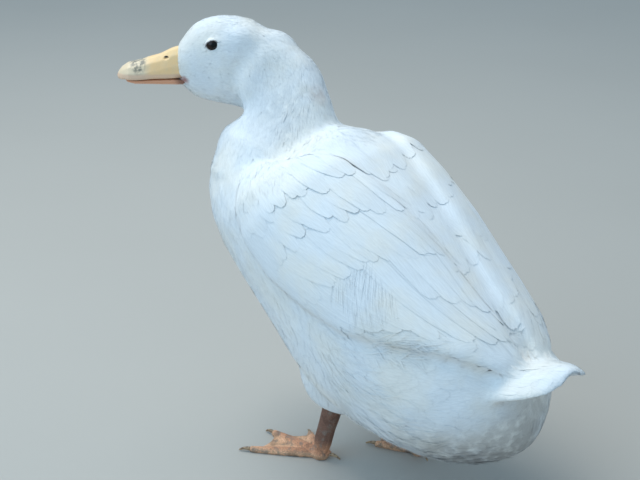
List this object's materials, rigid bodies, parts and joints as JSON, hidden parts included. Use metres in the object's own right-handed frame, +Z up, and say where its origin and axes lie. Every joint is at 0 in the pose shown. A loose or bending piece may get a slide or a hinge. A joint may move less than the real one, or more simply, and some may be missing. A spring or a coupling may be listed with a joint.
{
  "type": "duck",
  "caption": "White farm duck standing on webbed feet, body carried steeply, neck short and thick, head turned to its left, broad yellow bill, folded wings and a short fanned tail.",
  "frame": {"origin": "on the ground, under the middle of the duck's bounding box", "axes": "+Z up; the duck's body faces -Y, so +X is its left side and +Y points back past its tail"},
  "size_m": [0.223, 0.4686, 0.4187],
  "materials": {
    "plumage": "soft white feathers, matt",
    "bill": "satin yellow horn",
    "eye": "wet and glossy, near black",
    "leg_skin": "scaly orange skin with dried mud",
    "claw": "dull brown horn"
  },
  "bodies": {
    "root": {"trunk": "plumage", "neck": "plumage", "head": "plumage", "wing_left": "plumage", "wing_right": "plumage", "tail": "plumage", "thigh_left": "plumage", "thigh_right": "plumage", "upper_bill": "bill", "lower_bill": "bill", "bill_nail": "bill", "eye_left": "eye", "eye_right": "eye", "tarsus_left": "leg_skin", "tarsus_right": "leg_skin", "foot_left": "leg_skin", "foot_right": "leg_skin", "claw_inner_left": "claw", "claw_middle_left": "claw", "claw_outer_left": "claw", "claw_hind_left": "claw", "claw_inner_right": "claw", "claw_middle_right": "claw", "claw_outer_right": "claw", "claw_hind_right": "claw"}
  },
  "joints": []
}
